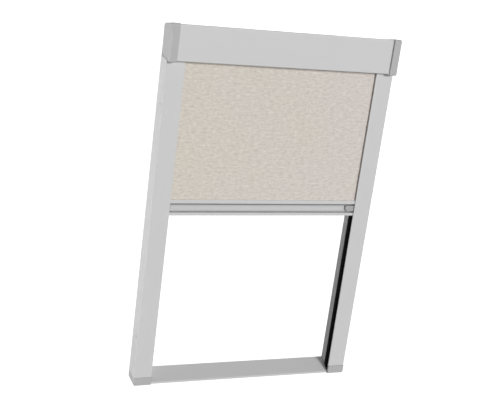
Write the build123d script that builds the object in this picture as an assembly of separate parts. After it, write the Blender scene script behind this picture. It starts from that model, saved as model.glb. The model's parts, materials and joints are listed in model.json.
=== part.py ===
from build123d import *
import os
from math import pi, sqrt

# Roof window roller blind: a cassette with a sprung roller, two guide rails, a sill rail and a
# cloth that a grip bar draws down. X runs across, Y from the front to the back and Z upwards.
# The origin is the middle of the foot. All sizes are in millimetres.

# Frame
overall_width = 490.0
rail_height = 700.0  # from the foot to the underside of the cassette
fit_gap = 0.2  # between pieces that plug into each other
running_gap = 0.05  # radial, between a shaft and its bore
soft_gap = 0.3  # between the cloth and what it passes
cut_overrun = 1.0

# Side rails
rail_face = 38.5
rail_depth = 40.0
rail_wall = 1.5
rail_edge_radius = 1.0
slot_width = 20.0
fixing_hole_radius = 2.25
fixing_hole_inset = 90.0  # from each end of the rail
fixing_hole_setback = 8.5  # in front of the slot's rear wall

# Pile strips on the rear wall of the slots
pile_base_width = 14.0
pile_base_thickness = 0.8
pile_width = 11.0
pile_height = 5.1
pile_inset = 0.5  # behind the mouth of the slot

# Cassette
cassette_height = 72.0
cassette_proud = 12.0  # in front of the rails
cassette_wall = 1.6
nose_radius = 2.5
cassette_fall = 10.0  # of the top, from the nose to the back
cassette_corner_radius = 2.0
cover_lip = 9.0
exit_slot = 21.0
cover_top = 30.0
lap_length = 6.0
lap_thickness = 1.4

# Screws and the channels that they bite into
screw_radius = 1.9
screw_length = 16.0
screw_head_radius = 3.0
screw_head_height = 1.9
channel_wall = 1.6
channel_bite = 0.4  # how far a channel sinks into the wall that carries it
channel_mouth = 1.2

# End caps
cap_width = 16.0
cap_wall = 6.0
cap_lip = 4.0  # proud of the cassette's front
cap_crown = 1.2  # proud of the cassette's top
cap_nose_radius = 4.5
cap_drop = 2.0  # below the cassette, in front of the rails
cap_corner_radius = 3.0
cap_edge_chamfer = 1.7  # round the outer face
cap_rib_length = 7.0
cap_rib_thickness = 2.0
cap_rib_height = 30.0
cap_tongue_length = 20.0
boss_radius = 9.0
boss_length = 14.5

# Foot caps
foot_height = 18.0
foot_proud = 2.5  # in front of the rails
foot_corner_radius = 4.5  # of the outer lower corner
foot_edge_chamfer = 0.8  # round the front
foot_spigot_length = 22.0
foot_tongue_length = 12.0

# Sill rail, which rises from its front edge to the back
sill_height = 4.0  # at the front
sill_back_height = 22.0
sill_wall = 1.5
sill_setback = 2.0  # behind the rails' front
sill_edge_radius = 0.6

# Roller and spring
tube_radius = 9.0
tube_wall = 1.2
plug_flange = 3.0
plug_length = 22.0
roller_end_gap = 1.0
spindle_radius = 4.0
spindle_sides = 6  # of the end that the cap holds still
bush_wall = 2.0
spring_radius = 7.2
spring_wire = 1.4
spring_length = 130.0
spring_seat_length = 10.0
roller_height_share = 0.53  # of the cassette's height

# Cloth
fabric_thickness = 0.5
fabric_setback = 5.0  # behind the rails' front
fabric_wound_length = 470.0
roll_margin = 2.0  # bare tube at each end of the roll

# Bottom bar
bar_height = 34.0
bar_drop = 318.5  # from the underside of the cassette to the bar's lower edge
bar_depth = 13.0
bar_setback = 2.0  # behind the rails' front
bar_wall = 1.5
bar_edge_radius = 1.2
bar_margin = 1.0  # past the cloth's edge
head_height = 7.5
lip_height = 6.5
groove_depth = 5.0
crease_depth = 2.0  # of the two creases beside the groove's raised band
low_crease_height = 2.0
high_crease_height = 4.0
hem_rod_radius = 1.4
hem_channel_radius = 1.8
hem_slot_width = 1.5

# Gliders at the ends of the bar
shoe_side_gap = 3.5  # to the slot's bottom, over the heads of the fixing screws
shoe_edge_radius = 1.5
glider_plug_length = 18.0
left_filler_show = 2.0  # seen beside the rail, in the bar's groove
right_filler_show = 20.0
filler_setback = 0.8
filler_lift = 3.4  # above the bar's lip
filler_chamfer = 5.0

# Places worked out from the sizes
half_width = overall_width / 2
overall_depth = cap_lip + cassette_proud + rail_depth
back_y = overall_depth / 2
rail_front_y = back_y - rail_depth
cassette_front_y = rail_front_y - cassette_proud
sill_front_y = rail_front_y + sill_setback
slot_front_y = rail_front_y + rail_wall
slot_back_y = slot_front_y + slot_width
chamber_front_y = slot_back_y + rail_wall
chamber_back_y = back_y - rail_wall
rail_inner_x = half_width - rail_face
rail_outer_x = half_width - rail_wall
cassette_top = rail_height + cassette_height
nose_y = cassette_front_y + nose_radius
nose_z = cassette_top - nose_radius
top_slope = cassette_fall / (back_y - nose_y)
cap_inner_x = half_width - cap_wall
boss_x = cap_inner_x - boss_length
roller_half = boss_x - roller_end_gap - plug_flange
fabric_half = roller_half - roll_margin
fabric_y = rail_front_y + fabric_setback
roll_radius = sqrt(tube_radius**2 + fabric_wound_length * fabric_thickness / pi)
axis_y = fabric_y + fabric_thickness / 2 + soft_gap + roll_radius
axis_z = rail_height + roller_height_share * cassette_height
tube_bore = tube_radius - tube_wall
seam_y = cassette_front_y + cover_top
lip_y = cassette_front_y + cover_lip
flange_y = lip_y + exit_slot
channel_radius = screw_radius + channel_wall
channel_y = back_y - cassette_wall - channel_radius + channel_bite
channel_low_z = rail_height + cassette_wall + channel_radius - channel_bite
port_x = rail_outer_x - channel_radius + channel_bite
port_y = (chamber_front_y + chamber_back_y) / 2
bar_low_z = rail_height - bar_drop
bar_top_z = bar_low_z + bar_height
bar_front_y = rail_front_y + bar_setback
bar_back_y = bar_front_y + bar_depth
bar_half = fabric_half + bar_margin
groove_y = bar_front_y + groove_depth
groove_low_z = bar_low_z + lip_height
groove_high_z = bar_top_z - head_height
hem_z = bar_top_z - bar_wall - hem_channel_radius
shoe_x = rail_outer_x - shoe_side_gap


def block(x0, x1, y0, y1, z0, z1):
    centre = Pos((x0 + x1) / 2, (y0 + y1) / 2, (z0 + z1) / 2)
    return centre * Box(x1 - x0, y1 - y0, z1 - z0)


def patch(u0, u1, v0, v1):
    return Pos((u0 + u1) / 2, (v0 + v1) / 2) * Rectangle(u1 - u0, v1 - v0)


def across(section, x0, x1):
    # A section drawn in Y and Z, run along X
    return extrude(Plane.YZ.offset(x0) * section, x1 - x0)


def upward(section, z0, z1):
    # A section drawn in X and Y, run along Z
    return extrude(Plane.XY.offset(z0) * section, z1 - z0)


def rounded(section, corners):
    # Rounds the corner of a section nearest to each point, by that point's radius
    for corner, radius in corners:
        vertex = section.vertices().sort_by_distance(Vector(*corner))[0]
        section = fillet(vertex, radius)
    return section


def disc(radius, x0, x1):
    return across(Pos(axis_y, axis_z) * Circle(radius), x0, x1)


def screw_channel(u, v, way):
    # Ring and bore of a screw channel, with its open mouth to one side
    place = Pos(u, v)
    mouth = patch(0, channel_radius + cut_overrun, -channel_mouth / 2, channel_mouth / 2)
    bore = Circle(screw_radius + running_gap) + Rot(0, 0, way) * mouth
    return place * Circle(channel_radius), place * bore


def top_z(y, inset):
    # Height of the cassette's falling top at a depth, measured that far inside its outer face
    return nose_z + (nose_radius - inset) * sqrt(1 + top_slope**2) - (y - nose_y) * top_slope


def top_band(y0, y1, outer, inner):
    # A strip along the falling top, between two insets from its outer face
    corners = [(y0, top_z(y0, inner)), (y1, top_z(y1, inner)), (y1, top_z(y1, outer)), (y0, top_z(y0, outer))]
    return Polygon(*corners, align=None)


def cassette_outline(grow):
    # The closed cassette's outer section, with the same margin on every side
    front = cassette_front_y - grow
    back = back_y + grow
    low = rail_height - grow
    nose = (front, top_z(front, -grow))
    section = Polygon((front, low), (back, low), (back, top_z(back, -grow)), nose, align=None)
    return rounded(section, [(nose, nose_radius + grow), ((front, low), cassette_corner_radius + grow)])


def cassette_shell():
    return cassette_outline(0) - cassette_outline(-cassette_wall)


def cassette_cover():
    # Front half: flat face, rounded nose, top flange and the lip that the cloth passes
    past_back = back_y + cut_overrun
    past_top = cassette_top + cut_overrun
    below = rail_height - cut_overrun
    middle = (rail_height + cassette_top) / 2
    section = cassette_shell()
    section -= patch(seam_y, past_back, middle, past_top)
    section -= patch(lip_y, past_back, below, middle)
    return across(section, -cap_inner_x + fit_gap, cap_inner_x - fit_gap)


def cassette_back():
    # Rear half: back wall, flanges, the lap under the cover and two open screw channels
    before_front = cassette_front_y - cut_overrun
    past_top = cassette_top + cut_overrun
    below = rail_height - cut_overrun
    middle = (rail_height + cassette_top) / 2
    section = cassette_shell()
    section -= patch(before_front, seam_y, middle, past_top)
    section -= patch(before_front, flange_y, below, middle)
    lap_inset = cassette_wall + fit_gap
    section += top_band(seam_y, seam_y + lap_length, 0, lap_inset + lap_thickness)
    section += top_band(seam_y - lap_length, seam_y + lap_length, lap_inset, lap_inset + lap_thickness)
    for z in (channel_low_z, channel_high_z):
        ring, bore = screw_channel(channel_y, z, 180)
        section = section + ring - bore
    return across(section, -cap_inner_x + fit_gap, cap_inner_x - fit_gap)


def cap_outline():
    # The cassette's section with a lip in front and on top, notched over the rail
    front = cassette_front_y - cap_lip
    low = rail_height - cap_drop
    notch = rail_front_y - fit_gap
    nose = (front, top_z(front, -cap_crown))
    heel = (back_y, top_z(back_y, -cap_crown))
    under = [(front, low), (notch, low), (notch, rail_height), (back_y, rail_height)]
    section = Polygon(*under, heel, nose, align=None)
    corners = [(nose, cap_nose_radius), (heel, cap_corner_radius), ((front, low), cap_corner_radius)]
    return rounded(section, corners)


def end_cap(seat):
    # Left-hand cap: outer wall, lip over the cassette's end, bearing boss, ribs and rail tongue
    outline = cap_outline()
    cap = across(outline, -half_width, -cap_inner_x)
    rim = outline - cassette_outline(fit_gap)
    cap += across(rim, -half_width, -half_width + cap_width)
    outer_edges = cap.faces().sort_by(Axis.X)[0].edges()
    cap = chamfer(outer_edges, cap_edge_chamfer)
    cap += disc(boss_radius, -cap_inner_x, -boss_x)
    front_rib_y = cassette_front_y + cassette_wall + fit_gap
    back_rib_y = back_y - cassette_wall - fit_gap
    rib_x = -cap_inner_x + cap_rib_length
    rib_low_z = axis_z - cap_rib_height / 2
    rib_high_z = axis_z + cap_rib_height / 2
    cap += block(-cap_inner_x, rib_x, front_rib_y, front_rib_y + cap_rib_thickness, rib_low_z, rib_high_z)
    cap += block(-cap_inner_x, rib_x, back_rib_y - cap_rib_thickness, back_rib_y, rib_low_z, rib_high_z)
    tongue = chamber_plug() - patch(-cap_inner_x, 0, chamber_front_y, chamber_back_y)
    cap += upward(tongue, rail_height - cap_tongue_length, rail_height)
    cap -= across(Pos(axis_y, axis_z) * seat, -half_width + cap_wall / 2, -boss_x + cut_overrun)
    for z in (channel_low_z, channel_high_z):
        cap -= screw_hole(Plane((-half_width, channel_y, z), z_dir=(1, 0, 0)), cap_wall)
    return cap


def screw_hole(face, depth):
    # Countersunk hole that starts on a face and runs along that face's inward normal
    shank = Circle(screw_radius + fit_gap)
    sink = loft([face * Circle(screw_head_radius), face.offset(screw_head_height) * shank])
    return sink + extrude(face * shank, depth + cut_overrun)


def screw(face):
    # Countersunk screw, its head flush with the face
    head = loft([face * Circle(screw_head_radius), face.offset(screw_head_height) * Circle(screw_radius)])
    return head + extrude(face * Circle(screw_radius), screw_length)


def rail_section():
    # Left-hand rail: front flange, guide slot, closed rear chamber and a screw port
    outer = patch(-half_width, -rail_inner_x, rail_front_y, back_y)
    outer = rounded(outer, [((x, rail_front_y), rail_edge_radius) for x in (-half_width, -rail_inner_x)])
    slot = patch(-rail_outer_x, -rail_inner_x + cut_overrun, slot_front_y, slot_back_y)
    chamber = patch(-rail_outer_x, -rail_inner_x - rail_wall, chamber_front_y, chamber_back_y)
    ring, bore = screw_channel(-port_x, port_y, 0)
    return outer - slot - (chamber - (ring - bore))


def chamber_plug():
    # What fills the rail's rear chamber, clear of its walls and of the screw port
    inner_x = -rail_inner_x - rail_wall - fit_gap
    plug = patch(-rail_outer_x + fit_gap, inner_x, chamber_front_y + fit_gap, chamber_back_y - fit_gap)
    reach = channel_radius + fit_gap
    port = Pos(-port_x, port_y) * Circle(reach)
    port += patch(-rail_outer_x, -port_x, port_y - reach, port_y + reach)
    return plug - port


def side_rail():
    rail = upward(rail_section(), foot_height, rail_height)
    hole_y = slot_back_y - fixing_hole_setback
    for z in (foot_height + fixing_hole_inset, rail_height - fixing_hole_inset):
        face = Plane((-half_width - cut_overrun, hole_y, z), z_dir=(1, 0, 0))
        rail -= extrude(face * Circle(fixing_hole_radius), rail_wall + cut_overrun + cut_overrun)
    return rail


def pile_seal():
    # Backing tape against the slot's rear wall, with the pile standing on it
    mouth_x = -rail_inner_x - pile_inset
    base_y = slot_back_y - pile_base_thickness
    spare = (pile_base_width - pile_width) / 2
    tape = patch(mouth_x - pile_base_width, mouth_x, base_y, slot_back_y)
    pile = patch(mouth_x - pile_base_width + spare, mouth_x - spare, base_y - pile_height, base_y)
    return upward(tape + pile, sill_height, rail_height)


def foot_cap():
    # Left-hand foot: a shoe under the rail that carries the slot on down to the sill
    foot = block(-half_width, -rail_inner_x, rail_front_y - foot_proud, back_y, 0, foot_height)
    corner = foot.faces().sort_by(Axis.Z)[0].edges().sort_by(Axis.X)[0]
    foot = fillet(corner, foot_corner_radius)
    front_edges = foot.faces().sort_by(Axis.Y)[0].edges().sort_by(Axis.Z)[:-1]
    foot = chamfer(front_edges, foot_edge_chamfer)
    inner = -rail_inner_x + cut_overrun
    foot -= block(-rail_outer_x, inner, slot_front_y, slot_back_y, sill_height, foot_height + cut_overrun)
    foot += upward(chamber_plug(), foot_height, foot_height + foot_spigot_length)
    tongue = sill_outline(sill_wall + fit_gap, 0)
    foot += across(tongue, -rail_inner_x, -rail_inner_x + foot_tongue_length)
    return foot - screw_hole(Plane((-port_x, port_y, 0), z_dir=(0, 0, 1)), foot_height)


def sill_outline(inset, low):
    # The sill's sloping section, drawn in by the same margin at the front, top and back
    slope = (sill_back_height - sill_height) / (back_y - sill_front_y)
    fall = inset * sqrt(1 + slope**2)
    front = sill_front_y + inset
    back = back_y - inset
    front_top = sill_height + slope * inset - fall
    back_top = sill_back_height - slope * inset - fall
    return Polygon((front, low), (back, low), (back, back_top), (front, front_top), align=None)


def sill_rail():
    # Sloping channel between the feet, open below
    ends = [(sill_front_y, sill_height), (back_y, sill_back_height)]
    outer = rounded(sill_outline(0, 0), [(end, sill_edge_radius) for end in ends])
    return across(outer - sill_outline(sill_wall, -cut_overrun), -rail_inner_x, rail_inner_x)


def bar_section():
    # Grip profile: head that holds the hem, finger groove with a raised band, and the lip below it
    outer = patch(bar_front_y, bar_back_y, bar_low_z, bar_top_z)
    outer = fillet(outer.vertices(), bar_edge_radius)
    groove = patch(bar_front_y - cut_overrun, groove_y, groove_low_z, groove_high_z)
    crease_y = groove_y + crease_depth
    groove += patch(groove_y, crease_y, groove_low_z, groove_low_z + low_crease_height)
    groove += patch(groove_y, crease_y, groove_high_z - high_crease_height, groove_high_z)
    channel = Pos(fabric_y, hem_z) * Circle(hem_channel_radius)
    mouth_y = fabric_y - hem_slot_width / 2
    mouth = patch(mouth_y, mouth_y + hem_slot_width, hem_z, bar_top_z + cut_overrun)
    return outer - groove - channel - mouth - bar_hollow(0)


def bar_hollow(gap):
    # The closed chamber behind the groove, made smaller by a gap for the plugs that enter it
    front = groove_y + crease_depth + bar_wall + gap
    back = bar_back_y - bar_wall - gap
    return patch(front, back, bar_low_z + bar_wall + gap, groove_high_z - bar_wall - gap)


def glider(filler_show):
    # Left-hand glider: shoe in the rail's slot, plug in the bar and filler in the bar's groove
    shoe = block(-shoe_x, -bar_half, bar_front_y, bar_back_y, bar_low_z, bar_top_z)
    shoe_edges = shoe.faces().sort_by(Axis.X)[0].edges()
    shoe = fillet(shoe_edges, shoe_edge_radius)
    plug = across(bar_hollow(fit_gap), -bar_half, -bar_half + glider_plug_length)
    filler_x = -rail_inner_x + filler_show
    front = bar_front_y + filler_setback
    low = groove_low_z + filler_lift
    high = groove_high_z - high_crease_height
    filler = block(-bar_half, filler_x, front, groove_y - fit_gap, low, high)
    corner = filler.edges().filter_by(Axis.Y).sort_by(Axis.X)[-2:].sort_by(Axis.Z)[0]
    return shoe + plug + chamfer(corner, filler_chamfer)


def bottom_bar():
    return across(bar_section(), -bar_half, bar_half)


def hem_rod():
    return across(Pos(fabric_y, hem_z) * Circle(hem_rod_radius), -fabric_half, fabric_half)


def blind_fabric():
    # The hanging cloth, from the roll's tangent to the hem rod
    low = hem_z + hem_rod_radius
    front = fabric_y - fabric_thickness / 2
    return block(-fabric_half, fabric_half, front, front + fabric_thickness, low, axis_z)


def roller_tube():
    return disc(tube_radius, -roller_half, roller_half) - disc(tube_bore, -roller_half, roller_half)


def fabric_roll():
    # The turns of cloth that are still wound on the tube
    outer = disc(roll_radius, -fabric_half, fabric_half)
    return outer - disc(tube_radius + running_gap, -fabric_half, fabric_half)


def plug_body():
    # Flange over the tube's left end and the body that fits its bore
    flange = disc(tube_radius, -roller_half - plug_flange, -roller_half)
    return flange + disc(tube_bore - running_gap, -roller_half, -roller_half + plug_length)


def idler_plug():
    return plug_body() + disc(spindle_radius, -cap_inner_x + fit_gap, -roller_half)


def drive_plug():
    # Turns on the spindle, with a seat for the spring at its inner end
    inner = -roller_half + plug_length
    plug = plug_body() + disc(spring_radius - spring_wire - running_gap, inner, inner + spring_seat_length)
    bore = disc(spindle_radius + running_gap, -half_width, inner + spring_seat_length + cut_overrun)
    return mirror(plug - bore, about=Plane.YZ)


def idler_bush():
    sleeve = disc(spindle_radius + bush_wall, -cap_inner_x, -boss_x)
    return sleeve - disc(spindle_radius + running_gap, -cap_inner_x, -boss_x)


def spring_places():
    # Where the spring starts on the drive plug and where it ends at the anchor
    start = roller_half - plug_length
    return start, start - spring_length


def torsion_spring():
    start, end = spring_places()
    return disc(spring_radius, end, start) - disc(spring_radius - spring_wire, end, start)


def spring_anchor():
    end = spring_places()[1]
    outer = disc(spring_radius - spring_wire - soft_gap, end, end + spring_seat_length)
    return outer - disc(spindle_radius + running_gap, end, end + spring_seat_length)


def spring_spindle():
    # Round shaft with a hexagonal end that the right end cap holds still
    end = spring_places()[1]
    hexagon = Pos(axis_y, axis_z) * RegularPolygon(spindle_radius, spindle_sides)
    return disc(spindle_radius, end, boss_x) + across(hexagon, boss_x, cap_inner_x)


def end_cap_screws():
    screws = Part()
    for x, direction in ((-half_width, 1), (half_width, -1)):
        for z in (channel_low_z, channel_high_z):
            screws += screw(Plane((x, channel_y, z), z_dir=(direction, 0, 0)))
    return screws


def foot_cap_screws():
    screws = Part()
    for x in (-port_x, port_x):
        screws += screw(Plane((x, port_y, 0), z_dir=(0, 0, 1)))
    return screws


channel_high_z = top_z(channel_y, cassette_wall + channel_radius - channel_bite)
bush_seat = Circle(spindle_radius + bush_wall + running_gap)
spindle_seat = RegularPolygon(spindle_radius + running_gap, spindle_sides)
nodes = {
    "cassette_cover": cassette_cover(),
    "cassette_back": cassette_back(),
    "left_end_cap": end_cap(bush_seat),
    "right_end_cap": mirror(end_cap(spindle_seat), about=Plane.YZ),
    "end_cap_screws": end_cap_screws(),
    "foot_cap_screws": foot_cap_screws(),
    "sill_rail": sill_rail(),
    "idler_bush": idler_bush(),
    "spring_spindle": spring_spindle(),
    "spring_anchor": spring_anchor(),
    "roller_tube": roller_tube(),
    "fabric_roll": fabric_roll(),
    "idler_plug": idler_plug(),
    "drive_plug": drive_plug(),
    "torsion_spring": torsion_spring(),
    "bottom_bar": bottom_bar(),
    "hem_rod": hem_rod(),
    "blind_fabric": blind_fabric(),
    "left_glider": glider(left_filler_show),
    "right_glider": mirror(glider(right_filler_show), about=Plane.YZ),
}
pairs = {"side_rail": side_rail, "pile_seal": pile_seal, "foot_cap": foot_cap}
for name, make in pairs.items():
    left = make()
    nodes[f"left_{name}"] = left
    nodes[f"right_{name}"] = mirror(left, about=Plane.YZ)

os.makedirs("parts", exist_ok=True)
for name, shape in nodes.items():
    export_step(shape, f"parts/{name}.step")
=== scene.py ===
import json
import math

import bpy
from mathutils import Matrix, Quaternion, Vector


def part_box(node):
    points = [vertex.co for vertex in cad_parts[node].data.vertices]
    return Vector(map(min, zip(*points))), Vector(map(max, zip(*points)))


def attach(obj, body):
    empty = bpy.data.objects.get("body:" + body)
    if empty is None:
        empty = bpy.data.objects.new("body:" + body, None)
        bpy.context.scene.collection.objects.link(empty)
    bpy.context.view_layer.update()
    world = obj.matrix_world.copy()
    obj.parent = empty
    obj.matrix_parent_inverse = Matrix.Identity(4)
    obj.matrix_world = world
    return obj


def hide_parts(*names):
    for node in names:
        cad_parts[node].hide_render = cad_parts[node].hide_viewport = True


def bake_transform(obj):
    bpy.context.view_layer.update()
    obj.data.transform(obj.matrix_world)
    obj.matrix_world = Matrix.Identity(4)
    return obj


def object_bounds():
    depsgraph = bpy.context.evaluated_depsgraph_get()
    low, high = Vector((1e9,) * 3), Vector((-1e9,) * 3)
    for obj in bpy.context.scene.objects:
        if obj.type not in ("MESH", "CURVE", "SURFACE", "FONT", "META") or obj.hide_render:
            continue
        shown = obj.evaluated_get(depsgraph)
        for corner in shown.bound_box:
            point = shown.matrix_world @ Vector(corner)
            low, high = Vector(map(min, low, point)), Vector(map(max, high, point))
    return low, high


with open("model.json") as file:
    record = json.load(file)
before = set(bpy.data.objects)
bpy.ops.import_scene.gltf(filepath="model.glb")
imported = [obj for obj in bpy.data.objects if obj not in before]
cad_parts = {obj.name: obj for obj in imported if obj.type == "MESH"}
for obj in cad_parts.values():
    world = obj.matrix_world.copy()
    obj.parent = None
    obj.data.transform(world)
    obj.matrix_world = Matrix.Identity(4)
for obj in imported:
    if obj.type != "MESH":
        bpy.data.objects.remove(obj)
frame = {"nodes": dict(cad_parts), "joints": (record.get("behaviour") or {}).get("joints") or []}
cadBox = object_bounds()
nodes = frame["nodes"]
scene = bpy.context.scene
print("frame loaded with", len(nodes), "pieces")


# Small helpers for node trees

def addNode(tree, kind, inputs=None, **settings):
    node = tree.nodes.new(kind)
    for name, value in settings.items():
        setattr(node, name, value)
    for name, value in (inputs or {}).items():
        if isinstance(value, bpy.types.NodeSocket):
            tree.links.new(value, node.inputs[name])
        else:
            node.inputs[name].default_value = value
    return node


def newTree(name, kind, inputs, outputs):
    tree = bpy.data.node_groups.new(name, kind)
    for label, (socketType, value) in inputs.items():
        socket = tree.interface.new_socket(name=label, in_out="INPUT", socket_type=socketType)
        if value is not None:
            socket.default_value = value
    for label, socketType in outputs.items():
        tree.interface.new_socket(name=label, in_out="OUTPUT", socket_type=socketType)
    given = tree.nodes.new("NodeGroupInput").outputs
    result = tree.nodes.new("NodeGroupOutput").inputs
    return tree, given, result


def calc(tree, operation, *values):
    inputs = dict(enumerate(values))
    return addNode(tree, "ShaderNodeMath", inputs, operation=operation).outputs[0]


def clampedCalc(tree, operation, *values):
    inputs = dict(enumerate(values))
    return addNode(tree, "ShaderNodeMath", inputs, operation=operation, use_clamp=True).outputs[0]


def vectorCalc(tree, operation, *values):
    inputs = dict(enumerate(values))
    return addNode(tree, "ShaderNodeVectorMath", inputs, operation=operation).outputs[0]


def combine(tree, x, y, z):
    return addNode(tree, "ShaderNodeCombineXYZ", {0: x, 1: y, 2: z}).outputs[0]


def separate(tree, vector):
    return addNode(tree, "ShaderNodeSeparateXYZ", {0: vector}).outputs


def spread(tree, value, low, high):  # takes 0 to 1 to low to high
    inputs = {"Value": value, "To Min": low, "To Max": high}
    return addNode(tree, "ShaderNodeMapRange", inputs).outputs[0]


def blendColour(tree, factor, first, second):
    inputs = {0: factor, 6: first, 7: second}
    return addNode(tree, "ShaderNodeMix", inputs, data_type="RGBA").outputs[2]


def tintColour(tree, factor, colour, tint):
    inputs = {0: factor, 6: colour, 7: tint}
    return addNode(tree, "ShaderNodeMix", inputs, data_type="RGBA", blend_type="MULTIPLY").outputs[2]


def useGroup(tree, group, inputs):
    return addNode(tree, "ShaderNodeGroup", inputs, node_tree=group).outputs


# Camera, where the photographer stood

pictureView = {
    "stand": (-0.8136, -1.9284, 1.1021),  # left of the blind and higher than its cassette
    "lookAt": (0.0741, -0.0120, 0.4266),
    "roll": 8.5,  # degrees, so that the blind leans to the right
    "lens": 75.838,
    "sensor": 36.0,
    "shift": (-0.1, -0.02),
}


def placeCamera(view):
    lens = bpy.data.cameras.new("pictureCamera")
    lens.sensor_width = view["sensor"]
    lens.lens = view["lens"]
    lens.shift_x, lens.shift_y = view["shift"]
    camera = bpy.data.objects.new("pictureCamera", lens)
    camera.location = view["stand"]
    sight = Vector(view["lookAt"]) - camera.location
    roll = Quaternion((0, 0, 1), math.radians(view["roll"]))
    camera.rotation_mode = "QUATERNION"
    camera.rotation_quaternion = sight.to_track_quat("-Z", "Y") @ roll
    scene.collection.objects.link(camera)
    scene.camera = camera


placeCamera(pictureView)
print("camera placed")


# Studio: a soft lamp in front, one behind, a weak one above and a strip for the left sides

studio = {
    "room": 0.2,  # grey of the walls that light the shadows
    "lamps": {  # degrees, metres and watts; shine is whether glossy faces mirror the lamp
        "frontLamp": {
            "bearing": 22, "height": 19, "distance": 60.0,
            "size": (14.0, 14.0), "watts": 23100, "shine": True,
        },
        "backLamp": {
            "bearing": 150, "height": 8, "distance": 12.0,
            "size": (4.0, 4.0), "watts": 900, "shine": True,
        },
        "topLamp": {
            "bearing": 180, "height": 60, "distance": 12.0,
            "size": (4.0, 4.0), "watts": 100, "shine": True,
        },
        "sideStrip": {
            "bearing": -90, "height": 0, "distance": 2.0,
            "size": (0.02, 1.2), "watts": 27, "shine": False,
        },
    },
    "floorHalf": 12.0,
    "floorDrop": 0.0004,  # keeps the feet from lying in the floor's own plane
    "floorGlow": 1.0,  # melts into the white behind it
    "floorTone": 0.3, "floorMottle": 0.02, "floorFibres": 60.0,
    "floorBounce": (0.55, 0.55, 0.55, 1),
}


def placeLamp(name, lamp, target):
    light = bpy.data.lights.new(name, "AREA")
    light.shape = "RECTANGLE"
    light.size, light.size_y = lamp["size"]
    light.energy = lamp["watts"]
    bearing = math.radians(lamp["bearing"])
    height = math.radians(lamp["height"])
    level = math.cos(height)
    way = Vector((math.sin(bearing) * level, -math.cos(bearing) * level, math.sin(height)))
    holder = bpy.data.objects.new(name, light)
    holder.location = target + way * lamp["distance"]
    holder.rotation_mode = "QUATERNION"
    holder.rotation_quaternion = (-way).to_track_quat("-Z", "Y")
    holder.visible_camera = False
    holder.visible_glossy = lamp["shine"]
    scene.collection.objects.link(holder)


def whiteRoom(setup):
    world = bpy.data.worlds.new("whiteRoom")
    world.use_nodes = True
    tree = world.node_tree
    tree.nodes.clear()
    path = addNode(tree, "ShaderNodeLightPath")
    walls = addNode(tree, "ShaderNodeBackground", {"Strength": setup["room"]})
    paper = addNode(tree, "ShaderNodeBackground", {"Color": (1, 1, 1, 1)})
    walls.inputs["Color"].default_value = (1, 1, 1, 1)
    mix = addNode(tree, "ShaderNodeMixShader", {0: path.outputs["Is Camera Ray"]})
    tree.links.new(walls.outputs[0], mix.inputs[1])
    tree.links.new(paper.outputs[0], mix.inputs[2])
    addNode(tree, "ShaderNodeOutputWorld", {"Surface": mix.outputs[0]})
    scene.world = world


def paperFloor(setup):
    material = bpy.data.materials.new("paperFloor")
    material.use_nodes = True
    tree = material.node_tree
    tree.nodes.clear()
    place = addNode(tree, "ShaderNodeTexCoord").outputs["Object"]
    fibre = addNode(tree, "ShaderNodeTexNoise", {"Vector": place, "Scale": setup["floorFibres"]})
    mottle = setup["floorMottle"]
    tone = spread(tree, fibre.outputs[0], setup["floorTone"] - mottle, setup["floorTone"] + mottle)
    paper = addNode(tree, "ShaderNodeBsdfDiffuse", {"Color": tone})
    glow = addNode(tree, "ShaderNodeEmission", {"Strength": setup["floorGlow"]})
    path = addNode(tree, "ShaderNodeLightPath")
    seen = addNode(tree, "ShaderNodeAddShader", {0: paper.outputs[0], 1: glow.outputs[0]})
    bounce = addNode(tree, "ShaderNodeBsdfDiffuse", {"Color": setup["floorBounce"]})
    mix = addNode(tree, "ShaderNodeMixShader", {0: path.outputs["Is Camera Ray"]})
    tree.links.new(bounce.outputs[0], mix.inputs[1])
    tree.links.new(seen.outputs[0], mix.inputs[2])
    under = addNode(tree, "ShaderNodeNewGeometry").outputs["Backfacing"]  # clear from below
    oneSided = addNode(tree, "ShaderNodeMixShader", {0: under})
    tree.links.new(mix.outputs[0], oneSided.inputs[1])
    tree.links.new(addNode(tree, "ShaderNodeBsdfTransparent").outputs[0], oneSided.inputs[2])
    addNode(tree, "ShaderNodeOutputMaterial", {"Surface": oneSided.outputs[0]})
    return material


def layFloor(setup):
    half = setup["floorHalf"]
    z = cadBox[0].z - setup["floorDrop"]
    mesh = bpy.data.meshes.new("floor")
    corners = [(-half, -half, z), (half, -half, z), (half, half, z), (-half, half, z)]
    mesh.from_pydata(corners, [], [(0, 1, 2, 3)])
    mesh.materials.append(paperFloor(setup))
    floor = bpy.data.objects.new("floor", mesh)
    scene.collection.objects.link(floor)


whiteRoom(studio)
layFloor(studio)
for lampName, lampSetup in studio["lamps"].items():
    placeLamp(lampName, lampSetup, (cadBox[0] + cadBox[1]) / 2)
scene.view_settings.view_transform = "Standard"
print("studio lit")


# Surface groups that several finishes share

def makeSurfaceGrain():
    # Fine grain and slow clouds, drawn out along a profile where Stretch is small
    inputs = {
        "Vector": ("NodeSocketVector", (0, 0, 0)),
        "Stretch": ("NodeSocketVector", (1, 1, 1)),
        "Density": ("NodeSocketFloat", 1500.0),  # grains in a metre
        "Cloud Density": ("NodeSocketFloat", 14.0),
    }
    outputs = {"Grain": "NodeSocketFloat", "Cloud": "NodeSocketFloat"}
    tree, given, result = newTree("surfaceGrain", "ShaderNodeTree", inputs, outputs)
    drawn = vectorCalc(tree, "MULTIPLY", given["Vector"], given["Stretch"])
    fine = {"Vector": drawn, "Scale": given["Density"], "Detail": 4.0, "Roughness": 0.6}
    slow = {"Vector": given["Vector"], "Scale": given["Cloud Density"], "Detail": 2.0}
    tree.links.new(addNode(tree, "ShaderNodeTexNoise", fine).outputs[0], result["Grain"])
    tree.links.new(addNode(tree, "ShaderNodeTexNoise", slow).outputs[0], result["Cloud"])
    return tree


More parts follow.
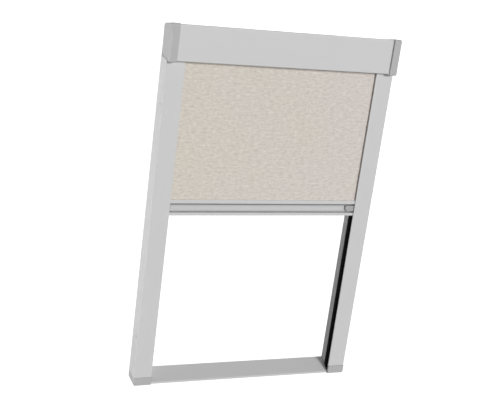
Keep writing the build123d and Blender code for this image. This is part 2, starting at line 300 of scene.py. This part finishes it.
linenYarns = {
    "slubShare": 0.5, "warpSlubShare": 0.2, "yarnShare": 0.3,  # of the cloth's light and dark
    "yarnThreads": 9.0,  # threads along one tone of yarn
    "slubRelief": 0.7, "threadRelief": 0.6,
}


def makeLinenWeave(setup):
    # Plain weave of uneven threads: slubs in the weft, thinner ones in the warp
    inputs = {
        "Across": ("NodeSocketFloat", 0.0),  # metres from side to side
        "Along": ("NodeSocketFloat", 0.0),  # metres down the cloth
        "Thread": ("NodeSocketFloat", 0.0006),
        "Slub Length": ("NodeSocketFloat", 0.0105),
        "Slub Width": ("NodeSocketFloat", 0.0043),
        "Patch": ("NodeSocketFloat", 0.2),
        "Contrast": ("NodeSocketFloat", 2.08),
    }
    outputs = {"Shade": "NodeSocketFloat", "Height": "NodeSocketFloat", "Patch Tint": "NodeSocketFloat"}
    tree, given, result = newTree("linenWeave", "ShaderNodeTree", inputs, outputs)
    halfTurns = calc(tree, "DIVIDE", math.pi, given["Thread"])
    warpWave = calc(tree, "SINE", calc(tree, "MULTIPLY", given["Across"], halfTurns))
    weftWave = calc(tree, "SINE", calc(tree, "MULTIPLY", given["Along"], halfTurns))
    over = calc(tree, "GREATER_THAN", calc(tree, "MULTIPLY", warpWave, weftWave), 0.0)
    warp = calc(tree, "MULTIPLY", calc(tree, "ABSOLUTE", warpWave), over)
    weft = calc(tree, "MULTIPLY", calc(tree, "ABSOLUTE", weftWave), calc(tree, "SUBTRACT", 1.0, over))
    weave = calc(tree, "ADD", warp, weft)

    def threads(length, width, turned):
        # Noise that is long one way and narrow the other
        u = calc(tree, "DIVIDE", given["Across"], width if turned else length)
        v = calc(tree, "DIVIDE", given["Along"], length if turned else width)
        inputs = {"Vector": combine(tree, u, v, 0.0), "Scale": 1.0, "Detail": 3.0, "Roughness": 0.55}
        return addNode(tree, "ShaderNodeTexNoise", inputs).outputs[0]

    slub = threads(given["Slub Length"], given["Slub Width"], False)
    warpSlub = threads(given["Slub Length"], given["Slub Width"], True)
    yarnLength = calc(tree, "MULTIPLY", given["Thread"], setup["yarnThreads"])
    yarn = threads(yarnLength, given["Thread"], False)
    patch = threads(given["Patch"], given["Patch"], False)
    shade = calc(tree, "MULTIPLY", slub, setup["slubShare"])
    shade = calc(tree, "MULTIPLY_ADD", warpSlub, setup["warpSlubShare"], shade)
    shade = calc(tree, "MULTIPLY_ADD", yarn, setup["yarnShare"], shade)
    shade = clampedCalc(tree, "MULTIPLY_ADD", calc(tree, "SUBTRACT", shade, 0.5), given["Contrast"], 0.5)
    threadHeight = calc(tree, "MULTIPLY", weave, setup["threadRelief"])
    height = calc(tree, "MULTIPLY_ADD", slub, setup["slubRelief"], threadHeight)
    tree.links.new(shade, result["Shade"])
    tree.links.new(height, result["Height"])
    tree.links.new(patch, result["Patch Tint"])
    return tree


surfaceGrain = makeSurfaceGrain()
linenWeave = makeLinenWeave(linenYarns)


# Finishes

def newFinish(name, constants):
    material = bpy.data.materials.new(name)
    material.use_nodes = True
    tree = material.node_tree
    shader = tree.nodes["Principled BSDF"]
    for socket, value in constants.items():
        shader.inputs[socket].default_value = value
    place = addNode(tree, "ShaderNodeTexCoord").outputs["Object"]
    return material, tree, shader.inputs, place


def addBump(tree, sockets, height, bump):
    strength, depth = bump
    inputs = {"Height": height, "Strength": strength, "Distance": depth}
    tree.links.new(addNode(tree, "ShaderNodeBump", inputs).outputs[0], sockets["Normal"])


satinAluminium = {
    "dark": (0.665, 0.665, 0.668, 1), "light": (0.735, 0.735, 0.735, 1),
    "rough": (0.56, 0.68), "metallic": 0.1, "bump": (0.25, 0.0001),
    "grain": 2200.0, "lines": 900.0, "drawn": 0.012,  # in a metre, and how far the lines are drawn out
    "lineShare": 0.4, "grainShare": 0.3, "cloudShare": 0.3,
}


# Painted shade for the bar's groove: where its band and creases lie, and how dark each is painted
barGroovePaintedShade = {
    "floor": 0.005, "crease": 0.002,  # behind the bar's front, and behind the groove's raised band
    "lip": 0.0065, "head": 0.0075, "edge": 0.0003,
    # Painted shade up the groove, from the lip to the head: lower crease, raised band, upper crease
    "paintedShades": [
        (0.1, 0.6), (0.11, 0.8), (0.26, 0.93), (0.45, 0.97), (0.66, 0.88), (0.79, 0.64), (0.8, 0.4),
    ],
}


def paintedGrooveShade(tree, place, setup):
    # Painted shade: grey that darkens the groove's band and its two creases where shade falls, white
    # everywhere else
    low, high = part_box("bottom_bar")
    y, z = separate(tree, place)[1:]
    edge = setup["edge"]
    lipTop = low.z + setup["lip"]
    headUnder = high.z - setup["head"]
    band = low.y + setup["floor"]
    limits = [
        ("GREATER_THAN", y, band - edge),
        ("LESS_THAN", y, band + setup["crease"] + edge),
        ("GREATER_THAN", z, lipTop - edge),
        ("LESS_THAN", z, headUnder + edge),
    ]
    paintedShadeMask = 1.0
    for limit in limits:
        paintedShadeMask = calc(tree, "MULTIPLY", paintedShadeMask, calc(tree, *limit))
    grooveHeight = {"Value": z, "From Min": lipTop, "From Max": headUnder}
    upShare = addNode(tree, "ShaderNodeMapRange", grooveHeight).outputs[0]
    ramp = addNode(tree, "ShaderNodeValToRGB", {0: upShare})
    stops = ramp.color_ramp.elements
    while len(stops) < len(setup["paintedShades"]):
        stops.new(0.5)
    for stop, (share, tone) in zip(stops, setup["paintedShades"]):
        stop.position = share
        stop.color = (tone, tone, tone, 1)
    return blendColour(tree, paintedShadeMask, (1, 1, 1, 1), ramp.outputs[0])


def satinProfile(name, setup, stretch, groove=None):
    # Pressed aluminium with a satin coat: fine grain over faint lines along the profile, with painted shade
    # in the bar's groove when one is given
    material, tree, sockets, place = newFinish(name, {"Metallic": setup["metallic"]})
    grain = useGroup(tree, surfaceGrain, {"Vector": place, "Density": setup["grain"]})
    alongProfile = {"Vector": place, "Stretch": stretch, "Density": setup["lines"]}
    lines = useGroup(tree, surfaceGrain, alongProfile)
    mixed = calc(tree, "MULTIPLY", grain["Grain"], setup["grainShare"])
    mixed = calc(tree, "MULTIPLY_ADD", lines["Grain"], setup["lineShare"], mixed)
    mixed = calc(tree, "MULTIPLY_ADD", grain["Cloud"], setup["cloudShare"], mixed)
    colour = blendColour(tree, mixed, setup["dark"], setup["light"])
    if groove:
        # painted shade darkens the bar's groove and its two creases
        colour = tintColour(tree, 1.0, colour, paintedGrooveShade(tree, place, groove))
    tree.links.new(colour, sockets["Base Color"])
    tree.links.new(spread(tree, mixed, *setup["rough"]), sockets["Roughness"])
    addBump(tree, sockets, mixed, setup["bump"])
    return material


mouldTexture = {"clouds": 25.0, "grainShare": 0.5, "cloudShare": 0.5, "bump": (0.3, 0.00012)}
capPlastic = {
    "dark": (0.487, 0.487, 0.49, 1), "light": (0.545, 0.545, 0.545, 1),
    "rough": (0.5, 0.66), "grain": 1600.0, **mouldTexture,
}
gliderPlastic = {
    "dark": (0.424, 0.424, 0.43, 1), "light": (0.488, 0.488, 0.498, 1),
    "rough": (0.42, 0.56), "grain": 2000.0, **mouldTexture,
}
bearingPlastic = {
    "dark": (0.74, 0.74, 0.71, 1), "light": (0.80, 0.80, 0.77, 1),
    "rough": (0.34, 0.48), "grain": 1200.0, **mouldTexture,
}


def mouldedPlastic(name, setup):
    # Spark-eroded mould texture with slow drifts of tone
    material, tree, sockets, place = newFinish(name, {})
    inputs = {"Vector": place, "Density": setup["grain"], "Cloud Density": setup["clouds"]}
    grain = useGroup(tree, surfaceGrain, inputs)
    mixed = calc(tree, "MULTIPLY", grain["Cloud"], setup["cloudShare"])
    mixed = calc(tree, "MULTIPLY_ADD", grain["Grain"], setup["grainShare"], mixed)
    tree.links.new(blendColour(tree, mixed, setup["dark"], setup["light"]), sockets["Base Color"])
    tree.links.new(spread(tree, mixed, *setup["rough"]), sockets["Roughness"])
    addBump(tree, sockets, grain["Grain"], setup["bump"])
    return material


metalTexture = {"clouds": 180.0, "grainShare": 0.6, "cloudShare": 0.4, "bump": (0.2, 0.00008)}
zincSteel = {
    "dark": (0.50, 0.50, 0.52, 1), "light": (0.66, 0.66, 0.67, 1), "rough": (0.25, 0.45),
    "metallic": 0.9, "grain": 1800.0, "stretch": (1, 1, 1), **metalTexture,
}
springSteel = {
    "dark": (0.16, 0.16, 0.17, 1), "light": (0.30, 0.30, 0.31, 1), "rough": (0.28, 0.5),
    "metallic": 0.9, "grain": 2600.0, "stretch": (1, 1, 1), **metalTexture,
}
millTube = {
    "dark": (0.60, 0.60, 0.61, 1), "light": (0.76, 0.76, 0.77, 1), "rough": (0.3, 0.5),
    "metallic": 0.85, "grain": 1500.0, "stretch": (0.01, 1, 1), **metalTexture,
}


def bareMetal(name, setup):
    # Plain metal, dull where the grain is dense
    material, tree, sockets, place = newFinish(name, {"Metallic": setup["metallic"]})
    inputs = {
        "Vector": place, "Stretch": setup["stretch"],
        "Density": setup["grain"], "Cloud Density": setup["clouds"],
    }
    grain = useGroup(tree, surfaceGrain, inputs)
    mixed = calc(tree, "MULTIPLY", grain["Cloud"], setup["cloudShare"])
    mixed = calc(tree, "MULTIPLY_ADD", grain["Grain"], setup["grainShare"], mixed)
    tree.links.new(blendColour(tree, mixed, setup["dark"], setup["light"]), sockets["Base Color"])
    tree.links.new(spread(tree, mixed, *setup["rough"]), sockets["Roughness"])
    addBump(tree, sockets, grain["Grain"], setup["bump"])
    return material


blackPile = {
    "dark": (0.004, 0.004, 0.004, 1), "light": (0.02, 0.02, 0.021, 1), "grain": 1100.0,
    "rough": 0.95, "sheen": 0.15, "bump": (0.6, 0.0003),
}


def pileFibre(name, setup):
    constants = {"Roughness": setup["rough"], "Sheen Weight": setup["sheen"]}
    material, tree, sockets, place = newFinish(name, constants)
    grain = useGroup(tree, surfaceGrain, {"Vector": place, "Density": setup["grain"]})
    colour = blendColour(tree, grain["Grain"], setup["dark"], setup["light"])
    tree.links.new(colour, sockets["Base Color"])
    addBump(tree, sockets, grain["Grain"], setup["bump"])
    return material


linen = {
    "dark": (0.577, 0.511, 0.481, 1), "light": (0.958, 0.892, 0.859, 1), "straw": (0.989, 1.0, 0.925, 1),
    "strawShare": 0.62, "strawDrift": -1.6,  # straw tone at the middle, and its change a metre to the right
    "strawPatches": 2.0,
    "thread": 0.0006, "rough": 0.92, "sheen": 0.12, "bump": (0.5, 0.0002),
}


def linenCloth(name, setup, rolledAbout=None):
    # Woven linen, flat on the hanging cloth and wrapped round the roller on the roll
    constants = {"Roughness": setup["rough"], "Sheen Weight": setup["sheen"]}
    material, tree, sockets, place = newFinish(name, constants)
    x, y, z = separate(tree, place)
    along = z
    if rolledAbout:
        middle, radius = rolledAbout
        rise = calc(tree, "SUBTRACT", z, middle.z)
        depth = calc(tree, "SUBTRACT", y, middle.y)
        along = calc(tree, "MULTIPLY", calc(tree, "ARCTAN2", rise, depth), radius)
    weave = useGroup(tree, linenWeave, {"Across": x, "Along": along, "Thread": setup["thread"]})
    yarn = blendColour(tree, weave["Shade"], setup["dark"], setup["light"])
    drift = calc(tree, "MULTIPLY_ADD", x, setup["strawDrift"], setup["strawShare"])
    patches = calc(tree, "SUBTRACT", weave["Patch Tint"], 0.5)
    straw = clampedCalc(tree, "MULTIPLY_ADD", patches, setup["strawPatches"], drift)
    tree.links.new(tintColour(tree, straw, yarn, setup["straw"]), sockets["Base Color"])
    addBump(tree, sockets, weave["Height"], setup["bump"])
    return material


rollerAxis = Vector(next(j["pos_m"] for j in frame["joints"] if j["name"] == "roller_turn"))
rollLow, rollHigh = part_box("fabric_roll")
rollRadius = (rollHigh.z - rollLow.z) / 2
drawn = satinAluminium["drawn"]
finishes = {
    "uprightSatin": satinProfile("uprightSatin", satinAluminium, (1, 1, drawn)),
    "crossSatin": satinProfile("crossSatin", satinAluminium, (drawn, 1, 1)),
    # the bar's finish carries painted shade in its groove
    "barSatinPaintedShade": satinProfile("barSatinPaintedShade", satinAluminium, (drawn, 1, 1), barGroovePaintedShade),
    "capPlastic": mouldedPlastic("capPlastic", capPlastic),
    "gliderPlastic": mouldedPlastic("gliderPlastic", gliderPlastic),
    "bearingPlastic": mouldedPlastic("bearingPlastic", bearingPlastic),
    "zincSteel": bareMetal("zincSteel", zincSteel),
    "springSteel": bareMetal("springSteel", springSteel),
    "millTube": bareMetal("millTube", millTube),
    "blackPile": pileFibre("blackPile", blackPile),
    "linen": linenCloth("linen", linen),
    "woundLinen": linenCloth("woundLinen", linen, (rollerAxis, rollRadius)),
}
dressing = {
    "uprightSatin": ["left_side_rail", "right_side_rail"],
    "crossSatin": ["cassette_cover", "cassette_back", "sill_rail"],
    "barSatinPaintedShade": ["bottom_bar"],
    "capPlastic": ["left_end_cap", "right_end_cap", "left_foot_cap", "right_foot_cap"],
    "gliderPlastic": ["left_glider", "right_glider"],
    "bearingPlastic": ["idler_bush", "idler_plug", "drive_plug", "spring_anchor", "hem_rod"],
    "zincSteel": ["spring_spindle"],
    "millTube": ["roller_tube"],
    "woundLinen": ["fabric_roll"],
}
for finishName, nodeNames in dressing.items():
    for nodeName in nodeNames:
        slots = nodes[nodeName].data.materials
        slots.clear()
        slots.append(finishes[finishName])
print("finishes made:", len(finishes))


def settle(piece):
    # Turns what the modifiers give into the piece's own plain mesh
    shown = piece.evaluated_get(bpy.context.evaluated_depsgraph_get())
    mesh = bpy.data.meshes.new_from_object(shown)
    piece.modifiers.clear()
    piece.data = mesh
    mesh.name = piece.name


# Hanging cloth: one taut sheet with the faint ripple of real linen

hangingCloth = {
    "columns": 120, "rows": 92,
    "ripple": 0.00035,  # out of the flat, in metres
    "rippleWidths": (0.19, 0.071), "rippleHeights": (0.42, 0.16),
    "rippleStart": 5.0,  # radians to each metre of a ripple's width
    "sharpAngle": 40,  # degrees, so that the cut edges stay crisp
}


def hangCloth(setup):
    low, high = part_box("blind_fabric")
    columns, rows = setup["columns"], setup["rows"]
    points = []
    for row in range(rows + 1):
        down = row / rows
        for column in range(columns + 1):
            x = low.x + (high.x - low.x) * column / columns
            z = high.z + (low.z - high.z) * down
            wave = 0.0
            for width, height in zip(setup["rippleWidths"], setup["rippleHeights"]):
                sideways = math.sin(math.tau * x / width + setup["rippleStart"] * width)
                wave += sideways * math.cos(math.tau * z / height)
            calm = math.sin(math.pi * down)  # straight at the roller and at the bar
            points.append((x, (low.y + high.y) / 2 + setup["ripple"] * wave * calm / 2, z))
    faces = []
    for row in range(rows):
        for column in range(columns):
            corner = row * (columns + 1) + column
            faces.append((corner, corner + columns + 1, corner + columns + 2, corner + 1))
    mesh = bpy.data.meshes.new("linenSheet")
    mesh.from_pydata(points, [], faces)
    mesh.materials.append(finishes["linen"])
    cloth = bpy.data.objects.new("linenSheet", mesh)
    scene.collection.objects.link(cloth)
    solid = cloth.modifiers.new("thickness", "SOLIDIFY")
    solid.thickness = high.y - low.y
    solid.offset = 0
    settle(cloth)
    cloth.data.shade_smooth()
    cloth.data.set_sharp_from_angle(angle=math.radians(setup["sharpAngle"]))
    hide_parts("blind_fabric")
    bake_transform(cloth)


hangCloth(hangingCloth)
print("cloth hung")


# Pieces grown by geometry nodes

def growPiece(name, tree, sizes, base=None):
    piece = bpy.data.objects.new(name, base or bpy.data.meshes.new(name))
    scene.collection.objects.link(piece)
    modifier = piece.modifiers.new("grow", "NODES")
    modifier.node_group = tree
    for socket in tree.interface.items_tree:
        if socket.in_out == "INPUT" and socket.name in sizes:
            modifier[socket.identifier] = sizes[socket.name]
    settle(piece)
    return piece


def finishTree(tree, result, geometry, material):
    real = addNode(tree, "GeometryNodeRealizeInstances", {0: geometry})
    dressed = addNode(tree, "GeometryNodeSetMaterial", {0: real.outputs[0], "Material": material})
    tree.links.new(dressed.outputs[0], result["Geometry"])
    return tree


def joinAll(tree, *parts):
    join = addNode(tree, "GeometryNodeJoinGeometry")
    for part in parts:
        tree.links.new(part, join.inputs[0])
    return join.outputs[0]


def shifted(tree, geometry, place, turn=(0, 0, 0)):
    inputs = {"Geometry": geometry, "Translation": place, "Rotation": turn}
    return addNode(tree, "GeometryNodeTransform", inputs).outputs[0]


pileStrip = {
    "Tape": 0.0008, "Margin": 0.0015, "Spacing": 0.0014, "Stray Share": 0.3,
    "Tuft Radius": 0.00085, "Tip Share": 0.4, "Least Growth": 0.78, "Lean": 0.2, "Seed": 7,
}
geometryOut = {"Geometry": "NodeSocketGeometry"}


def makePileTree(material):
    inputs = {
        "Low": ("NodeSocketVector", (0, 0, 0)),
        "High": ("NodeSocketVector", (0.014, 0.0024, 0.7)),
        "Tape": ("NodeSocketFloat", 0.001),
        "Margin": ("NodeSocketFloat", 0.001),
        "Spacing": ("NodeSocketFloat", 0.002),
        "Stray Share": ("NodeSocketFloat", 0.3),  # of the spacing
        "Tuft Radius": ("NodeSocketFloat", 0.001),
        "Tip Share": ("NodeSocketFloat", 0.4),  # of the tuft's radius
        "Least Growth": ("NodeSocketFloat", 0.8),  # of the full height
        "Lean": ("NodeSocketFloat", 0.3),
        "Seed": ("NodeSocketInt", 0),
    }
    tree, given, result = newTree("pileStrip", "GeometryNodeTree", inputs, geometryOut)
    size = separate(tree, vectorCalc(tree, "SUBTRACT", given["High"], given["Low"]))
    both = vectorCalc(tree, "ADD", given["High"], given["Low"])
    middle = separate(tree, vectorCalc(tree, "MULTIPLY", both, (0.5, 0.5, 0.5)))
    back = separate(tree, given["High"])[1]
    width = calc(tree, "MULTIPLY_ADD", given["Margin"], -2.0, size[0])
    length = calc(tree, "MULTIPLY_ADD", given["Margin"], -2.0, size[2])
    grid = addNode(tree, "GeometryNodeMeshGrid", {
        "Size X": width, "Size Y": length,
        "Vertices X": calc(tree, "DIVIDE", width, given["Spacing"]),
        "Vertices Y": calc(tree, "DIVIDE", length, given["Spacing"]),
    })
    stray = calc(tree, "MULTIPLY", given["Spacing"], given["Stray Share"])
    strayBack = calc(tree, "MULTIPLY", stray, -1.0)
    jitter = addNode(tree, "FunctionNodeRandomValue", {
        0: combine(tree, strayBack, strayBack, 0.0),
        1: combine(tree, stray, stray, 0.0), "Seed": given["Seed"],
    }, data_type="FLOAT_VECTOR")
    roots = addNode(tree, "GeometryNodeSetPosition", {0: grid.outputs[0], "Offset": jitter.outputs[0]})
    pile = calc(tree, "SUBTRACT", size[1], given["Tape"])
    tuft = addNode(tree, "GeometryNodeMeshCone", {
        "Vertices": 5, "Radius Bottom": given["Tuft Radius"], "Depth": pile,
        "Radius Top": calc(tree, "MULTIPLY", given["Tuft Radius"], given["Tip Share"]),
    })
    leanBack = calc(tree, "MULTIPLY", given["Lean"], -1.0)
    lean = addNode(tree, "FunctionNodeRandomValue", {
        0: combine(tree, leanBack, leanBack, 0.0),
        1: combine(tree, given["Lean"], given["Lean"], math.tau), "Seed": given["Seed"],
    }, data_type="FLOAT_VECTOR")
    growth = addNode(tree, "FunctionNodeRandomValue", {
        2: given["Least Growth"], 3: 1.0, "Seed": given["Seed"],
    }, data_type="FLOAT")
    tufts = addNode(tree, "GeometryNodeInstanceOnPoints", {
        "Points": roots.outputs[0], "Instance": tuft.outputs[0],
        "Rotation": lean.outputs[0], "Scale": growth.outputs[1],
    })
    face = calc(tree, "SUBTRACT", back, given["Tape"])
    nap = shifted(tree, tufts.outputs[0], combine(tree, middle[0], face, middle[2]), (math.pi / 2, 0, 0))
    tapeSize = combine(tree, size[0], given["Tape"], size[2])
    tape = addNode(tree, "GeometryNodeMeshCube", {"Size": tapeSize})
    tapeY = calc(tree, "MULTIPLY_ADD", given["Tape"], -0.5, back)
    band = shifted(tree, tape.outputs[0], combine(tree, middle[0], tapeY, middle[2]))
    return finishTree(tree, result, joinAll(tree, band, nap), material)


pileTree = makePileTree(finishes["blackPile"])
for side in ("left", "right"):
    pileLow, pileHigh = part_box(f"{side}_pile_seal")
    strip = growPiece(f"{side}PileStrip", pileTree, {**pileStrip, "Low": pileLow, "High": pileHigh})
    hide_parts(f"{side}_pile_seal")
    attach(strip, "frame")
print("pile strips grown")


coilSpring = {"Wire": 0.0014, "Turns": 52.0}


def makeSpringTree(material):
    inputs = {
        "Start": ("NodeSocketVector", (0, 0, 0)),
        "Length": ("NodeSocketFloat", 0.13),
        "Outer Radius": ("NodeSocketFloat", 0.0072),
        "Wire": ("NodeSocketFloat", 0.0014),
        "Turns": ("NodeSocketFloat", 50.0),
    }
    tree, given, result = newTree("coilSpring", "GeometryNodeTree", inputs, geometryOut)
    wireRadius = calc(tree, "MULTIPLY", given["Wire"], 0.5)
    coilRadius = calc(tree, "SUBTRACT", given["Outer Radius"], wireRadius)
    run = calc(tree, "SUBTRACT", given["Length"], given["Wire"])
    helix = addNode(tree, "GeometryNodeCurveSpiral", {
        "Resolution": 28, "Rotations": given["Turns"], "Height": run,
        "Start Radius": coilRadius, "End Radius": coilRadius,
    })
    wire = addNode(tree, "GeometryNodeCurvePrimitiveCircle", {"Resolution": 10, "Radius": wireRadius})
    coil = addNode(tree, "GeometryNodeCurveToMesh", {
        "Curve": helix.outputs[0], "Profile Curve": wire.outputs[0], "Fill Caps": True,
    })
    start = vectorCalc(tree, "ADD", given["Start"], combine(tree, wireRadius, 0.0, 0.0))
    laid = shifted(tree, coil.outputs[0], start, (0, math.pi / 2, 0))
    smooth = addNode(tree, "GeometryNodeSetShadeSmooth", {0: laid})
    return finishTree(tree, result, smooth.outputs[0], material)


springLow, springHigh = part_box("torsion_spring")
springSizes = {
    **coilSpring,
    "Start": (springLow.x, rollerAxis.y, rollerAxis.z),
    "Length": springHigh.x - springLow.x,
    "Outer Radius": (springHigh.z - springLow.z) / 2,
}
spring = growPiece("coilSpring", makeSpringTree(finishes["springSteel"]), springSizes)
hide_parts("torsion_spring")
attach(spring, "roller")
print("spring wound")


footLow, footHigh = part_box("foot_cap_screws")
headRadius = (footHigh.y - footLow.y) / 2
countersunkScrew = {
    "Head Radius": headRadius, "Length": footHigh.z - footLow.z,
    "Head Height": 0.0019, "Shank Radius": 0.0019, "Pitch": 0.0013,
    "Core Share": 0.78, "Ridge Share": 0.2,  # of the shank's radius, for the thread
    "Recess Width": 0.0008, "Recess Reach": 0.0018, "Recess Depth": 0.0012,
}


def makeScrewTree(material):
    # Cross-head screw that points along Z from its head, set on every point of the base mesh
    inputs = {"Geometry": ("NodeSocketGeometry", None)}
    for name, value in countersunkScrew.items():
        inputs[name] = ("NodeSocketFloat", value)
    tree, given, result = newTree("countersunkScrew", "GeometryNodeTree", inputs, geometryOut)
    head = addNode(tree, "GeometryNodeMeshCone", {
        "Vertices": 28, "Radius Bottom": given["Head Radius"], "Radius Top": given["Shank Radius"],
        "Depth": given["Head Height"],
    })
    reach = calc(tree, "MULTIPLY", given["Recess Reach"], 2.0)
    depth = calc(tree, "MULTIPLY", given["Recess Depth"], 2.0)
    width = given["Recess Width"]
    cut = addNode(
        tree, "GeometryNodeMeshBoolean", {0: head.outputs[0]}, operation="DIFFERENCE", solver="EXACT",
    )
    for sizes in ((reach, width, depth), (width, reach, depth)):
        arm = addNode(tree, "GeometryNodeMeshCube", {"Size": combine(tree, *sizes)})
        tree.links.new(arm.outputs[0], cut.inputs[1])
    core = calc(tree, "MULTIPLY", given["Shank Radius"], given["Core Share"])
    run = calc(tree, "SUBTRACT", given["Length"], given["Head Height"])
    shank = addNode(tree, "GeometryNodeMeshCylinder", {"Vertices": 16, "Radius": core, "Depth": run})
    half = calc(tree, "MULTIPLY_ADD", run, 0.5, given["Head Height"])
    shankPlaced = shifted(tree, shank.outputs[0], combine(tree, 0.0, 0.0, half))
    ridge = calc(tree, "MULTIPLY", given["Shank Radius"], given["Ridge Share"])
    rise = calc(tree, "SUBTRACT", run, calc(tree, "MULTIPLY", ridge, 2.0))
    helix = addNode(tree, "GeometryNodeCurveSpiral", {
        "Resolution": 16, "Rotations": calc(tree, "DIVIDE", rise, given["Pitch"]), "Height": rise,
        "Start Radius": core, "End Radius": core,
    })
    edge = addNode(tree, "GeometryNodeCurvePrimitiveCircle", {"Resolution": 4, "Radius": ridge})
    thread = addNode(tree, "GeometryNodeCurveToMesh", {
        "Curve": helix.outputs[0], "Profile Curve": edge.outputs[0], "Fill Caps": True,
    })
    threadStart = calc(tree, "ADD", given["Head Height"], ridge)
    threadPlaced = shifted(tree, thread.outputs[0], combine(tree, 0.0, 0.0, threadStart))
    screw = joinAll(tree, cut.outputs[0], shankPlaced, threadPlaced)
    way = addNode(tree, "GeometryNodeInputNamedAttribute", {"Name": "way"}, data_type="FLOAT_VECTOR")
    turn = addNode(tree, "FunctionNodeAlignRotationToVector", {"Vector": way.outputs[0]}, axis="Z")
    screws = addNode(tree, "GeometryNodeInstanceOnPoints", {
        "Points": given["Geometry"], "Instance": screw, "Rotation": turn.outputs[0],
    })
    return finishTree(tree, result, screws.outputs[0], material)


def setScrews(name, tree, places, node):
    base = bpy.data.meshes.new(name)
    base.from_pydata([point for point, way in places], [], [])
    ways = base.attributes.new("way", "FLOAT_VECTOR", "POINT")
    for index, (point, way) in enumerate(places):
        ways.data[index].vector = way
    screws = growPiece(name, tree, countersunkScrew, base)
    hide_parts(node)
    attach(screws, "frame")


screwTree = makeScrewTree(finishes["zincSteel"])
capLow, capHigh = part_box("end_cap_screws")
capY = (capLow.y + capHigh.y) / 2
capPlaces = [
    ((x, capY, z), (way, 0, 0))
    for x, way in ((capLow.x, 1), (capHigh.x, -1))
    for z in (capLow.z + headRadius, capHigh.z - headRadius)
]
setScrews("endCapScrews", screwTree, capPlaces, "end_cap_screws")
footY = (footLow.y + footHigh.y) / 2
footPlaces = [
    ((x, footY, footLow.z), (0, 0, 1))
    for x in (footLow.x + headRadius, footHigh.x - headRadius)
]
setScrews("footCapScrews", screwTree, footPlaces, "foot_cap_screws")
print("screws set")
